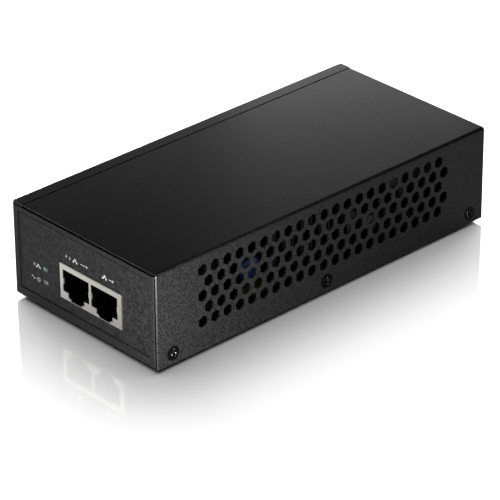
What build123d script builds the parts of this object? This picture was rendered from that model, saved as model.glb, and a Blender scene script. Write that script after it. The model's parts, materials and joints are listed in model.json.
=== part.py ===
from build123d import *
import math
import os

# Power-over-Ethernet injector: a folded steel box with a two-port jack, a mains inlet and
# the power supply board between them.
# Row frame: +Z up, port face towards -Y, vented side of the cover towards +X, origin on the
# surface that the feet stand on, at the middle of the footprint.

os.makedirs("parts", exist_ok=True)

# Enclosure
BODY_W = 71.0  # left face to vented face
BODY_L = 150.4  # port face to rear face
BODY_H = 35.0  # underside to top, without the feet
FOOT_H = 1.5
SHEET = 0.8  # steel sheet
FIT = 0.15  # gap between sheets that lie over each other
BEND = 1.0  # outside radius of a bend in the sheet
EDGE = 0.2  # softened edge of the painted sheet
CORNER_EDGE = 0.6  # rounding of the cover's two upright edges
STRIP_W = 5.35  # chassis strip along the top left edge
SEAM = 0.45  # open seam between the strip and the cover
WALL_TOP = 33.7  # top of the port and rear walls, below the cover
TAB = 6.5  # depth of the folded tabs inside the walls
LIP = (8.0, 64.0)  # stiffening lips along the tops of the end walls, left to right
TONGUE_LEFT = 1.9  # left edge of the cover's tongue, under the strip
TONGUE_INSET = 4.0  # from each end
FLANGE_H = 8.0  # screw flange behind the cover's side
CHASSIS_W = BODY_W - SHEET - FIT

# Port face
RECESS = (2.7, 3.5, 67.6, 32.0)  # left, bottom, right, top
RECESS_DEPTH = 0.5
LABEL_T = 0.25
LABEL_GAP = 0.4
SHELL_PROUD = 0.2
SHELL = (23.9, 8.2, 54.2, 21.1)
SHELL_DEPTH = 16.0
SHELL_T = 0.25
PORTS = (31.79, 45.76)  # across, centre of each socket
# Steps of each port as (width, bottom, top): the window in the shell, and the socket behind it
WINDOW = ((13.0, 11.05, 19.1), (7.95, 9.2, 11.05), (5.5, 8.4, 9.2))
SOCKET = ((12.1, 11.3, 18.7), (7.3, 9.5, 11.3), (5.0, 8.7, 9.5))
LAMP_ACROSS = 15.95
LAMP_UP = (14.85, 10.0)  # PoE lamp, power lamp
LAMP_W, LAMP_H = 2.1, 1.4

# Vents and screws
HEX_FLATS = 3.8
HEX_ROUND = 0.35
VENT_PITCH = 5.4
VENT_ROWS = (29.4, 24.7, 20.0, 15.2, 10.5)
VENTS_IN_ROW = 21
SCREW_BACK = (6.84, 75.2, 143.8)
SCREW_UP = 4.0
HEAD_D, HEAD_H = 5.2, 1.15
SCREW_L = 5.0
CROSS_W, CROSS_T = 2.7, 0.62  # cross recess: width over the arms, thickness of an arm
M3 = 3.0

# Keyholes of the floor, each a round hole with a slot to the rear
KEYHOLE_BACK = (35.2, 115.2)
KEYHOLE_D = 8.0
KEYHOLE_SLOT = (12.0, 4.2)  # overall length and width, centred on the hole's rear edge

# Rubber feet
FOOT_D = 9.0
FOOT_INSET = (9.0, 11.0)  # from the sides, from the ends

# Board and its supports
BOARD = (3.8, 1.6, 67.2, 124.0)  # left, front, right, back
BOARD_T = 1.6
FILM_T = 0.4
BOARD_TOP = SHELL[1]
BOARD_LOW = BOARD_TOP - BOARD_T
STANDOFF_TOP = BOARD_LOW - FILM_T
STANDOFFS = ((8.5, 16.0), (62.5, 16.0), (8.5, 119.5), (62.5, 119.5))

# Rear inlet
INLET_ACROSS = BODY_W / 2
INLET_UP = 17.5
FLANGE_T = 2.0
INLET_W, INLET_H, INLET_DEPTH = 27.0, 19.8, 17.4
CAVITY_W, CAVITY_H, CAVITY_DEPTH = 24.4, 16.4, 16.6
PIN_SIDE, PIN_RISE = 7.0, 2.0  # live and neutral sideways, earth up and the others down

FRONT_Y = SHELL_PROUD - (BODY_L + SHELL_PROUD + FLANGE_T) / 2
LOW = (Align.MIN, Align.MIN, Align.MIN)
STAND = (Align.CENTER, Align.CENTER, Align.MIN)


def at(across, back, up):
    """A point from its distances to the body's left side, port face and underside."""
    return (across - BODY_W / 2, FRONT_Y + back, FOOT_H + up)


def span(low, high, mode=Mode.ADD):
    """A block between two corners, both given as for at()."""
    with Locations(at(*low)):
        Box(*[b - a for a, b in zip(low, high)], align=LOW, mode=mode)


def face_plane(back):
    """Plane parallel to the port face, x across and y up, with its normal to the front."""
    return Plane(origin=at(0, back, 0), x_dir=(1, 0, 0), z_dir=(0, -1, 0))


def side_plane(across):
    """Plane parallel to the vented side, x to the back and y up, with its normal outwards."""
    return Plane(origin=at(across, 0, 0), x_dir=(0, 1, 0), z_dir=(1, 0, 0))


def board_plane(up=BOARD_TOP):
    """Plane level with the board, x across and y to the back."""
    return Plane(origin=at(0, 0, up), x_dir=(1, 0, 0), z_dir=(0, 0, 1))


def edges_near(part, **place):
    """Edges whose centre lies at the given across, back or up distances."""
    found = part.edges()
    offsets = {"across": ("X", -BODY_W / 2), "back": ("Y", FRONT_Y), "up": ("Z", FOOT_H)}
    for name, value in place.items():
        letter, start = offsets[name]
        found = found.filter_by(lambda e: abs(getattr(e.center(), letter) - start - value) < 0.02)
    return found


with BuildSketch() as vent_hole:
    RegularPolygon(HEX_FLATS / 2, 6, major_radius=False, rotation=30)
    fillet(vent_hole.vertices(), HEX_ROUND)


def vent_places():
    """Staggered rows of vents, centred along the body, as (back, up)."""
    places = []
    for row, up in enumerate(VENT_ROWS):
        shift = VENT_PITCH / 2 * (row % 2) - VENT_PITCH / 4
        for i in range(VENTS_IN_ROW):
            places.append((BODY_L / 2 + (i - (VENTS_IN_ROW - 1) / 2) * VENT_PITCH + shift, up))
    return places


# ---------------------------------------------------------------- enclosure

with BuildPart() as chassis_hollow:
    span((SHEET,) * 3, (CHASSIS_W - SHEET, BODY_L - SHEET, BODY_H - SHEET))
    fillet(chassis_hollow.edges(), BEND - SHEET)

with BuildPart() as chassis:
    span((0, 0, 0), (CHASSIS_W, BODY_L, BODY_H))
    fillet(chassis.edges(), BEND)
    add(chassis_hollow.part, mode=Mode.SUBTRACT)
    # The top stays only as the left strip, and the right side only as a flange and end tabs.
    span((STRIP_W, -1, WALL_TOP), (BODY_W, BODY_L + 1, BODY_H + 1), mode=Mode.SUBTRACT)
    span((CHASSIS_W - 2, TAB, FLANGE_H), (BODY_W, BODY_L - TAB, BODY_H), mode=Mode.SUBTRACT)
    # Square ends of the strip, and the slots that part it from the end walls.
    for end, wall in ((0, SHEET + 0.1), (BODY_L, BODY_L - SHEET - 0.1)):
        low, high = min(end, wall), max(end, wall)
        span((BEND, low, BODY_H - SHEET), (STRIP_W, high, BODY_H))
        span((-1, min(end - 1, wall), WALL_TOP), (BODY_W, max(end + 1, wall), BODY_H - SHEET),
             mode=Mode.SUBTRACT)
    # Stiffening lips folded back from the tops of the end walls.
    lip_low = WALL_TOP - SHEET
    span((LIP[0], SHEET / 2, lip_low), (LIP[1], TAB, WALL_TOP))
    span((LIP[0], BODY_L - TAB, lip_low), (LIP[1], BODY_L - SHEET / 2, WALL_TOP))
    # Shallow pressed recess of the port face: full sheet thickness all over.
    left, bottom, right, top = RECESS
    with BuildSketch(face_plane(SHEET)):
        with Locations(((left + right) / 2, (bottom + top) / 2)):
            RectangleRounded(right - left + 1, top - bottom + 1, 1.5)
    extrude(amount=-RECESS_DEPTH)
    with BuildSketch(face_plane(0)):
        with Locations(((left + right) / 2, (bottom + top) / 2)):
            RectangleRounded(right - left, top - bottom, 1.0)
    extrude(amount=-RECESS_DEPTH, mode=Mode.SUBTRACT)
    # Openings for the jack and the two lamps.
    left, bottom, right, top = SHELL
    span((left - 0.2, -1, bottom - 0.1), (right + 0.2, 2, top + 0.2), mode=Mode.SUBTRACT)
    for up in LAMP_UP:
        span((LAMP_ACROSS - LAMP_W / 2 - 0.15, -1, up - LAMP_H / 2 - 0.15),
             (LAMP_ACROSS + LAMP_W / 2 + 0.15, 2, up + LAMP_H / 2 + 0.15), mode=Mode.SUBTRACT)
    # Rear opening for the snap-in inlet.
    span((INLET_ACROSS - INLET_W / 2 - 0.1, BODY_L - 3, INLET_UP - INLET_H / 2 - 0.1),
         (INLET_ACROSS + INLET_W / 2 + 0.1, BODY_L + 1, INLET_UP + INLET_H / 2 + 0.1),
         mode=Mode.SUBTRACT)
    # Screw holes of the flange, each dimpled for the cover's countersink.
    for back in SCREW_BACK:
        with BuildSketch(side_plane(CHASSIS_W)):
            with Locations((back, SCREW_UP)):
                Circle(M3 / 2 + 0.35)
        extrude(amount=-SHEET, mode=Mode.SUBTRACT)
    # Two keyhole slots in the floor, narrow end to the rear.
    with BuildSketch(board_plane(-1)):
        for back in KEYHOLE_BACK:
            with Locations((BODY_W / 2, back)):
                Circle(KEYHOLE_D / 2)
            with Locations((BODY_W / 2, back + KEYHOLE_D / 2)):
                SlotOverall(*KEYHOLE_SLOT, rotation=90)
    extrude(amount=3, mode=Mode.SUBTRACT)
    # Vents of the left wall.
    with BuildSketch(side_plane(SHEET)):
        with Locations(*vent_places()):
            add(vent_hole.sketch)
    extrude(amount=-2 * SHEET, mode=Mode.SUBTRACT)
chassis.part.label = "chassis"
export_step(chassis.part, "parts/chassis.step")

with BuildPart() as cover:
    # Folded L: the top plate and the vented side.
    with BuildSketch(face_plane(0)):
        with BuildLine():
            FilletPolyline((STRIP_W + SEAM, BODY_H), (BODY_W, BODY_H), (BODY_W, 0.05), radius=BEND)
            offset(amount=-SHEET, side=Side.RIGHT)
        make_face()
    extrude(amount=-BODY_L)
    for back in (0, BODY_L):
        fillet(edges_near(cover, across=BODY_W, back=back), CORNER_EDGE)
    top_edges = edges_near(cover, up=BODY_H)
    fillet(top_edges + edges_near(cover, across=BODY_W, up=0.05), EDGE)
    # Tongue set down by one sheet, which slides under the chassis strip.
    tongue_low = BODY_H - 2 * SHEET - FIT
    joggle = (STRIP_W + SEAM, STRIP_W + SEAM + 1)
    span((joggle[0], TONGUE_INSET, tongue_low), (joggle[1], BODY_L - TONGUE_INSET, BODY_H - SHEET / 2))
    span((TONGUE_LEFT, TONGUE_INSET, tongue_low), (joggle[1], BODY_L - TONGUE_INSET, tongue_low + SHEET))
    for back in SCREW_BACK:
        hole = Plane(origin=at(BODY_W, back, SCREW_UP), x_dir=(0, 1, 0), z_dir=(1, 0, 0))
        with Locations(hole):
            CounterSinkHole(M3 / 2 + 0.2, HEAD_D / 2 + 0.1, depth=2, counter_sink_angle=90)
    with BuildSketch(side_plane(BODY_W)):
        with Locations(*vent_places()):
            add(vent_hole.sketch)
    extrude(amount=-SHEET, mode=Mode.SUBTRACT)
cover.part.label = "cover"
export_step(cover.part, "parts/cover.step")

with BuildPart() as cover_screws:
    for back in SCREW_BACK:
        seat = Plane(origin=at(BODY_W, back, SCREW_UP), x_dir=(0, 1, 0), z_dir=(-1, 0, 0))
        with Locations(seat):
            Cone(HEAD_D / 2, M3 / 2 - 0.05, HEAD_H, align=STAND)
            Cylinder(M3 / 2 - 0.05, SCREW_L, align=STAND)
            for turn in (45, 135):
                Box(CROSS_W, CROSS_T, 0.9, rotation=(0, 0, turn), mode=Mode.SUBTRACT)
            Cone(0.85, 0.3, 0.8, align=STAND, mode=Mode.SUBTRACT)
cover_screws.part.label = "cover_screws"
export_step(cover_screws.part, "parts/cover_screws.step")

with BuildPart() as clinch_nuts:
    for back in SCREW_BACK:
        with BuildSketch(side_plane(CHASSIS_W - SHEET)):
            with Locations((back, SCREW_UP)):
                RegularPolygon(2.7, 6)
                Circle(M3 / 2, mode=Mode.SUBTRACT)
        extrude(amount=-1.65)
clinch_nuts.part.label = "clinch_nuts"
export_step(clinch_nuts.part, "parts/clinch_nuts.step")

with BuildPart() as front_label:
    left, bottom, right, top = RECESS
    with BuildSketch(face_plane(RECESS_DEPTH)):
        with Locations(((left + right) / 2, (bottom + top) / 2)):
            RectangleRounded(right - left - 2 * LABEL_GAP, top - bottom - 2 * LABEL_GAP, 0.8)
    extrude(amount=LABEL_T)
    left, bottom, right, top = SHELL
    span((left - 0.2, -1, bottom - 0.1), (right + 0.2, 2, top + 0.2), mode=Mode.SUBTRACT)
    for up in LAMP_UP:
        span((LAMP_ACROSS - LAMP_W / 2 - 0.05, -1, up - LAMP_H / 2 - 0.05),
             (LAMP_ACROSS + LAMP_W / 2 + 0.05, 2, up + LAMP_H / 2 + 0.05), mode=Mode.SUBTRACT)
front_label.part.label = "front_label"
export_step(front_label.part, "parts/front_label.step")

with BuildPart() as rating_label:
    with BuildSketch(board_plane(0)):
        with Locations((BODY_W / 2, BODY_L / 2)):
            RectangleRounded(46, 50, 1.5)
    extrude(amount=-0.12)
rating_label.part.label = "rating_label"
export_step(rating_label.part, "parts/rating_label.step")

with BuildPart() as rubber_feet:
    for across in (FOOT_INSET[0], BODY_W - FOOT_INSET[0]):
        for back in (FOOT_INSET[1], BODY_L - FOOT_INSET[1]):
            with Locations(at(across, back, -FOOT_H)):
                Cylinder(FOOT_D / 2, FOOT_H, align=STAND)
    fillet(rubber_feet.faces().sort_by(Axis.Z)[:4].edges(), 0.4)
rubber_feet.part.label = "rubber_feet"
export_step(rubber_feet.part, "parts/rubber_feet.step")

# ---------------------------------------------------------------- board and its supports

with BuildPart() as standoffs:
    with BuildSketch(board_plane(SHEET)):
        for place in STANDOFFS:
            with Locations(place):
                RegularPolygon(3.0, 6)
                Circle(M3 / 2, mode=Mode.SUBTRACT)
    extrude(amount=STANDOFF_TOP - SHEET)
standoffs.part.label = "standoffs"
export_step(standoffs.part, "parts/standoffs.step")

with BuildPart() as insulating_film:
    left, front, right, back = BOARD
    with BuildSketch(board_plane(STANDOFF_TOP)):
        with Locations(((left + right) / 2, (front + back) / 2)):
            Rectangle(right - left, back - front)
        with Locations(*STANDOFFS):
            Circle(M3 / 2 + 0.2, mode=Mode.SUBTRACT)
    extrude(amount=FILM_T)
insulating_film.part.label = "insulating_film"
export_step(insulating_film.part, "parts/insulating_film.step")

with BuildPart() as circuit_board:
    with BuildSketch(board_plane(BOARD_LOW)):
        with Locations(((left + right) / 2, (front + back) / 2)):
            RectangleRounded(right - left, back - front, 1.0)
        with Locations(*STANDOFFS):
            Circle(M3 / 2 + 0.2, mode=Mode.SUBTRACT)
    extrude(amount=BOARD_T)
circuit_board.part.label = "circuit_board"
export_step(circuit_board.part, "parts/circuit_board.step")

with BuildPart() as board_screws:
    for across, back in STANDOFFS:
        with Locations(at(across, back, BOARD_TOP)):
            Cylinder(2.8, 1.8, align=STAND)
            Cylinder(M3 / 2 - 0.05, 5.0, align=(Align.CENTER, Align.CENTER, Align.MAX))
            with Locations((0, 0, 1.8)):
                for turn in (45, 135):
                    Box(3.0, 0.6, 1.6, rotation=(0, 0, turn), mode=Mode.SUBTRACT)
board_screws.part.label = "board_screws"
export_step(board_screws.part, "parts/board_screws.step")

# ---------------------------------------------------------------- jack and lamps

SHELL_BACK = SHELL_DEPTH - SHELL_PROUD
WALL_BACK = SHELL_BACK - SHELL_T  # inside of the shell's back
SOCKET_BACK = 13.0
LEAD_IN = 1.0  # depth of the housing's wider mouth
GROUND_TAB = (13.6, 15.7, 0.3)  # bottom, top and back of the tabs folded into a window
FINGER_L, FINGER_T = 6.0, 0.2  # spring fingers of the shell's roof
WIRE_T = 0.35
WIRE_PITCH = 1.02
WIRE_OFFSETS = [WIRE_PITCH * (i - 3.5) for i in range(8)]
LEAD_UP = (19.95, 20.3)  # the fixed wires run between these heights
HINGE_BACK, HINGE_UP = 3.2, 19.55  # where the spring arms leave the fixed wires
ARM_SLOPE = 25.0  # degrees, with no plug in the socket
ARM_LENGTH = 8.6
WIRE_SLOT_W = 9.2
WIRE_SLOT = (17.0, 19.2, LEAD_UP[1])  # bottom over the socket, bottom behind it, top

with BuildPart() as jack_shell:
    left, bottom, right, top = SHELL
    span((left, -SHELL_PROUD, bottom), (right, SHELL_BACK, top))
    upper = jack_shell.edges().filter_by(Axis.Y).group_by(Axis.Z)[-1]
    fillet(upper + edges_near(jack_shell, back=-SHELL_PROUD, up=top), 0.4)
    span((left + SHELL_T, SHELL_T - SHELL_PROUD, bottom - 1),
         (right - SHELL_T, WALL_BACK, top - SHELL_T), mode=Mode.SUBTRACT)
    for centre in PORTS:
        for width, low, high in WINDOW:
            span((centre - width / 2, -1, low), (centre + width / 2, 1, high), mode=Mode.SUBTRACT)
        # Grounding tabs folded back into each window from its two sides.
        low, high, back = GROUND_TAB
        for side in (-1, 1):
            edge = centre + side * WINDOW[0][0] / 2
            inner = edge - side * SHELL_T
            span((min(edge, inner), -SHELL_PROUD, low), (max(edge, inner), back, high))
        # Two spring fingers pressed out of the roof over each socket.
        for shift in (-3, 1):
            span((centre + shift, 3, top), (centre + shift + 2, 3 + FINGER_L, top + FINGER_T))
jack_shell.part.label = "jack_shell"
export_step(jack_shell.part, "parts/jack_shell.step")

with BuildPart() as jack_housing:
    left, bottom, right, top = SHELL
    front = SHELL_T - SHELL_PROUD
    span((left + SHELL_T, front, bottom), (right - SHELL_T, WALL_BACK - 1.2, top - SHELL_T))
    for centre in PORTS:
        for steps, back in ((WINDOW, LEAD_IN), (SOCKET, SOCKET_BACK)):
            for width, low, high in steps:
                span((centre - width / 2, -1, low), (centre + width / 2, back, high), mode=Mode.SUBTRACT)
        # Slot above the socket for the contact wires, open to the back.
        low, low_behind, high = WIRE_SLOT
        left, right = centre - WIRE_SLOT_W / 2, centre + WIRE_SLOT_W / 2
        span((left, 2, low), (right, SOCKET_BACK, high), mode=Mode.SUBTRACT)
        span((left, SOCKET_BACK - 1, low_behind), (right, WALL_BACK, high), mode=Mode.SUBTRACT)
jack_housing.part.label = "jack_housing"
export_step(jack_housing.part, "parts/jack_housing.step")

with BuildPart() as jack_leads:
    lead_back = WALL_BACK - 0.4
    for centre in PORTS:
        for offset_across in WIRE_OFFSETS:
            low, high = centre + offset_across - WIRE_T / 2, centre + offset_across + WIRE_T / 2
            span((low, 2.6, LEAD_UP[0]), (high, lead_back, LEAD_UP[1]))
            span((low, lead_back - WIRE_T, BOARD_TOP), (high, lead_back, LEAD_UP[1]))
jack_leads.part.label = "jack_leads"
export_step(jack_leads.part, "parts/jack_leads.step")


def spring_wires(centre):
    """Eight spring arms that slope back and down from the hinge line into the socket."""
    rise = math.radians(ARM_SLOPE)
    tip = (HINGE_BACK + ARM_LENGTH * math.cos(rise), HINGE_UP - ARM_LENGTH * math.sin(rise))
    for offset_across in WIRE_OFFSETS:
        with BuildSketch(side_plane(centre + offset_across)) as arm:
            with BuildLine():
                Polyline((HINGE_BACK, HINGE_UP), tip)
            trace(line_width=WIRE_T)
        extrude(arm.sketch, amount=WIRE_T / 2, both=True)


with BuildPart() as port_1_contacts:
    spring_wires(PORTS[0])
port_1_contacts.part.label = "port_1_contacts"
export_step(port_1_contacts.part, "parts/port_1_contacts.step")

with BuildPart() as port_2_contacts:
    spring_wires(PORTS[1])
port_2_contacts.part.label = "port_2_contacts"
export_step(port_2_contacts.part, "parts/port_2_contacts.step")

LAMP_BACK = 5.0
HOLDER_W = 3.8
HOLDER_BACK = (1.6, 8.6)

with BuildPart() as lamp_holder:
    span((LAMP_ACROSS - HOLDER_W / 2, HOLDER_BACK[0], BOARD_TOP),
         (LAMP_ACROSS + HOLDER_W / 2, HOLDER_BACK[1], LAMP_UP[0] + 1.8))
    for up in LAMP_UP:
        span((LAMP_ACROSS - LAMP_W / 2 - 0.05, 0, up - LAMP_H / 2 - 0.05),
             (LAMP_ACROSS + LAMP_W / 2 + 0.05, LAMP_BACK, up + LAMP_H / 2 + 0.05), mode=Mode.SUBTRACT)
lamp_holder.part.label = "lamp_holder"
export_step(lamp_holder.part, "parts/lamp_holder.step")


def lamp(up):
    """Rectangular lamp whose front is level with the overlay label."""
    span((LAMP_ACROSS - LAMP_W / 2, RECESS_DEPTH - LABEL_T, up - LAMP_H / 2),
         (LAMP_ACROSS + LAMP_W / 2, LAMP_BACK, up + LAMP_H / 2))


with BuildPart() as poe_lamp:
    lamp(LAMP_UP[0])
    fillet(poe_lamp.faces().sort_by(Axis.Y)[0].edges(), 0.12)
poe_lamp.part.label = "poe_lamp"
export_step(poe_lamp.part, "parts/poe_lamp.step")

with BuildPart() as power_lamp:
    lamp(LAMP_UP[1])
    fillet(power_lamp.faces().sort_by(Axis.Y)[0].edges(), 0.12)
power_lamp.part.label = "power_lamp"
export_step(power_lamp.part, "parts/power_lamp.step")

# ---------------------------------------------------------------- helpers for board components


def chip(across, back, width, length, height, pins, pitch, reach=1.0):
    """Moulded package with gull-wing pins along its front and back edges."""
    with Locations(at(across, back, BOARD_TOP + 0.15)):
        Box(width, length, height, align=STAND)
        with GridLocations(pitch, length + reach, pins, 2):
            Box(0.4, reach, 0.2, align=STAND)
    with Locations(at(across, back, BOARD_TOP)):
        with GridLocations(pitch, length + 2 * reach - 0.4, pins, 2):
            Box(0.4, 0.4, 0.35, align=STAND)


LEAD_R = 0.35  # component leads


def can(across, back, radius, height):
    """Standing electrolytic capacitor, rolled in above its seal, with a rounded shoulder."""
    axis_plane = Plane(origin=at(across, back, BOARD_TOP), x_dir=(1, 0, 0), z_dir=(0, -1, 0))
    with BuildSketch(axis_plane) as half:
        with BuildLine():
            Polyline((radius - 0.5, 1.8), (radius, 1.3), (radius, 0), (0, 0), (0, height),
                     (radius - 0.7, height))
            RadiusArc((radius - 0.7, height), (radius, height - 0.7), 0.7)
            Polyline((radius, height - 0.7), (radius, 2.9), (radius - 0.5, 2.4), (radius - 0.5, 1.8))
        make_face()
    revolve(half.sketch, axis=Axis(at(across, back, BOARD_TOP), (0, 0, 1)))


def disc(across, back, radius, thickness, turn=0):
    """Dipped disc on two leads, its faces across the body when turn is 0."""
    centre = at(across, back, BOARD_TOP + radius + 1.6)
    sine, cosine = math.sin(math.radians(turn)), math.cos(math.radians(turn))
    with BuildSketch(Plane(origin=centre, x_dir=(cosine, sine, 0), z_dir=(0, 0, 1))) as half:
        with Locations((0, radius / 2)):
            Rectangle(thickness, radius)
        fillet(half.vertices().group_by(Axis.Y)[-1], thickness * 0.35)
    revolve(half.sketch, axis=Axis(centre, (cosine, sine, 0)))
    for shift in (-radius * 0.55, radius * 0.55):
        with Locations(at(across - shift * sine, back + shift * cosine, BOARD_TOP)):
            Cylinder(LEAD_R, radius, align=STAND)


def wire(points, radius, bend):
    """Round wire along straight runs with rounded corners."""
    route = [at(*point) for point in points]
    with BuildLine() as path:
        FilletPolyline(*route, radius=bend)
    with BuildSketch(Plane(origin=path.line @ 0, z_dir=path.line % 0)) as section:
        Circle(radius)
    sweep(section.sketch, path=path.line)


# ---------------------------------------------------------------- low-voltage side of the board

with BuildPart() as lan_transformer:
    chip(38.6, 25.0, 24.0, 11.0, 6.0, 12, 1.9, 1.2)
lan_transformer.part.label = "lan_transformer"
export_step(lan_transformer.part, "parts/lan_transformer.step")

with BuildPart() as poe_controller:
    chip(59.0, 27.5, 10.3, 7.5, 2.3, 8, 1.27)
poe_controller.part.label = "poe_controller"
export_step(poe_controller.part, "parts/poe_controller.step")

with BuildPart() as tantalum_capacitors:
    for back in (45.0, 50.2):
        with Locations(at(64.7, back, BOARD_TOP)):
            Box(4.2, 3.2, 2.2, align=STAND)
    chamfer(tantalum_capacitors.faces().group_by(Axis.Z)[-1].edges(), 0.25)
tantalum_capacitors.part.label = "tantalum_capacitors"
export_step(tantalum_capacitors.part, "parts/tantalum_capacitors.step")

with BuildPart() as output_capacitors:
    for across, back in ((12.0, 32.0), (12.0, 44.0), (24.0, 44.0)):
        can(across, back, 5.0, 20.0)
output_capacitors.part.label = "output_capacitors"
export_step(output_capacitors.part, "parts/output_capacitors.step")

CHOKE = (42.0, 44.5)
CHOKE_R, CHOKE_HOLE, CHOKE_H = 8.5, 4.8, 7.0
TURNS, TURN_D = 18, 0.9

with BuildPart() as output_choke_core:
    with Locations(at(*CHOKE, BOARD_TOP + TURN_D + 0.1)):
        Cylinder(CHOKE_R, CHOKE_H, align=STAND)
        Cylinder(CHOKE_HOLE, CHOKE_H, align=STAND, mode=Mode.SUBTRACT)
    fillet(output_choke_core.edges().filter_by(GeomType.CIRCLE), 0.8)
output_choke_core.part.label = "output_choke_core"
export_step(output_choke_core.part, "parts/output_choke_core.step")

with BuildPart() as output_choke_winding:
    middle, breadth = (CHOKE_R + CHOKE_HOLE) / 2, CHOKE_R - CHOKE_HOLE
    with Locations(at(*CHOKE, BOARD_TOP)):
        with PolarLocations(middle, TURNS):
            Box(breadth + 2 * TURN_D + 0.1, TURN_D, CHOKE_H + 2 * TURN_D + 0.2, align=STAND)
            with Locations((0, 0, TURN_D)):
                Box(breadth + 0.1, TURN_D, CHOKE_H + 0.2, align=STAND, mode=Mode.SUBTRACT)
output_choke_winding.part.label = "output_choke_winding"
export_step(output_choke_winding.part, "parts/output_choke_winding.step")

with BuildPart() as y_capacitor:
    disc(60.0, 49.6, 4.6, 3.0)
y_capacitor.part.label = "y_capacitor"
export_step(y_capacitor.part, "parts/y_capacitor.step")

# ---------------------------------------------------------------- power transformer

XFMR = (38.0, 69.0)
CORE_W, CORE_T, CORE_H = 25.0, 8.0, 20.0
LEG, WINDOW_W, WINDOW_H = 7.0, 6.0, 13.0
CORE_UP = BOARD_TOP + 2.0
WINDING_UP = CORE_UP + (CORE_H - WINDOW_H) / 2

with BuildPart() as transformer_core:
    with Locations(at(*XFMR, CORE_UP)):
        Box(CORE_W, CORE_T, CORE_H, align=STAND)
    with Locations(at(*XFMR, WINDING_UP)):
        for side in (-1, 1):
            with Locations((side * (LEG + WINDOW_W) / 2, 0, 0)):
                Box(WINDOW_W, CORE_T, WINDOW_H, align=STAND, mode=Mode.SUBTRACT)
    chamfer(transformer_core.edges().filter_by(Axis.Y).group_by(Axis.Z)[-1], 0.4)
transformer_core.part.label = "transformer_core"
export_step(transformer_core.part, "parts/transformer_core.step")

with BuildPart() as transformer_bobbin:
    inner = (LEG + 0.1, CORE_T + 0.1)
    with BuildSketch(board_plane(WINDING_UP)):
        with Locations(XFMR):
            Rectangle(inner[0] + 1.6, inner[1] + 1.6)
            Rectangle(*inner, mode=Mode.SUBTRACT)
    extrude(amount=WINDOW_H)
    for up in (WINDING_UP, WINDING_UP + WINDOW_H - 0.8):
        with BuildSketch(board_plane(up)):
            with Locations(XFMR):
                Rectangle(LEG + 2 * WINDOW_W - 0.2, 20)
                Rectangle(*inner, mode=Mode.SUBTRACT)
        extrude(amount=0.8)
    # Two pin rails in front of and behind the core, with their pins.
    for side in (-1, 1):
        middle = XFMR[1] + side * 7.5
        span((XFMR[0] - 11, middle - 2.5, BOARD_TOP + 0.5), (XFMR[0] + 11, middle + 2.5, WINDING_UP))
        for i in range(-2, 3):
            with Locations(at(XFMR[0] + 4.5 * i, middle + side * 1.5, BOARD_TOP)):
                Box(2 * LEAD_R, 2 * LEAD_R, 0.6, align=STAND)
transformer_bobbin.part.label = "transformer_bobbin"
export_step(transformer_bobbin.part, "parts/transformer_bobbin.step")

with BuildPart() as transformer_winding:
    with BuildSketch(board_plane(WINDING_UP + 0.8)):
        with Locations(XFMR):
            RectangleRounded(LEG + 2 * WINDOW_W - 0.4, 18.6, 2.5)
            Rectangle(inner[0] + 1.7, inner[1] + 1.7, mode=Mode.SUBTRACT)
    extrude(amount=WINDOW_H - 1.6)
transformer_winding.part.label = "transformer_winding"
export_step(transformer_winding.part, "parts/transformer_winding.step")

# ---------------------------------------------------------------- heat sinks and transistors

SINK_T, SINK_H = 2.5, 20.0
SINK_BACK = (57.0, 83.0)
FINS = 7


def heat_sink(face, side):
    """Finned plate: the transistor sits on the flat at face, and the fins point to side."""
    spine = face + side * SINK_T
    span((min(face, spine), SINK_BACK[0], BOARD_TOP), (max(face, spine), SINK_BACK[1], BOARD_TOP + SINK_H))
    tip = spine + side * 4.5
    for i in range(FINS):
        back = SINK_BACK[0] + 0.6 + i * (SINK_BACK[1] - SINK_BACK[0] - 1.2) / (FINS - 1)
        span((min(spine, tip), back - 0.6, BOARD_TOP + 2), (max(spine, tip), back + 0.6, BOARD_TOP + SINK_H))


def power_package(face, side, back):
    """Three-lead power package flat against a heat sink at face, its body towards side."""
    tab, front = face + side * 1.3, face + side * 4.5
    span((min(face, tab), back - 5, BOARD_TOP + 4), (max(face, tab), back + 5, BOARD_TOP + 19))
    span((min(face, front), back - 5, BOARD_TOP + 4), (max(face, front), back + 5, BOARD_TOP + 13))
    for i in (-1, 0, 1):
        with Locations(at(face + side * 2.7, back + 2.54 * i, BOARD_TOP)):
            Box(0.5, 0.8, 4, align=STAND)
    hole = Plane(origin=at(face, back, BOARD_TOP + 16), x_dir=(0, 1, 0), z_dir=(side, 0, 0))
    with Locations(hole):
        Cylinder(1.8, 4, mode=Mode.SUBTRACT)


def sink_screw(face, side, back):
    """Short cap screw through the package's tab, its head on the tab."""
    seat = Plane(origin=at(face + side * 1.3, back, BOARD_TOP + 16), x_dir=(0, 1, 0), z_dir=(side, 0, 0))
    with Locations(seat):
        Cylinder(2.6, 1.8, align=STAND)
        Cylinder(1.45, 1.3, align=(Align.CENTER, Align.CENTER, Align.MAX))
        with Locations((0, 0, 1.8)):
            Box(4.0, 0.7, 1.2, mode=Mode.SUBTRACT)


PRIMARY_FACE, OUTPUT_FACE = 15.0, 57.5
PACKAGE_BACK = 70.0

with BuildPart() as primary_heat_sink:
    heat_sink(PRIMARY_FACE, -1)
primary_heat_sink.part.label = "primary_heat_sink"
export_step(primary_heat_sink.part, "parts/primary_heat_sink.step")

with BuildPart() as output_heat_sink:
    heat_sink(OUTPUT_FACE, 1)
output_heat_sink.part.label = "output_heat_sink"
export_step(output_heat_sink.part, "parts/output_heat_sink.step")

with BuildPart() as primary_transistor:
    power_package(PRIMARY_FACE, 1, PACKAGE_BACK)
primary_transistor.part.label = "primary_transistor"
export_step(primary_transistor.part, "parts/primary_transistor.step")

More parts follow.
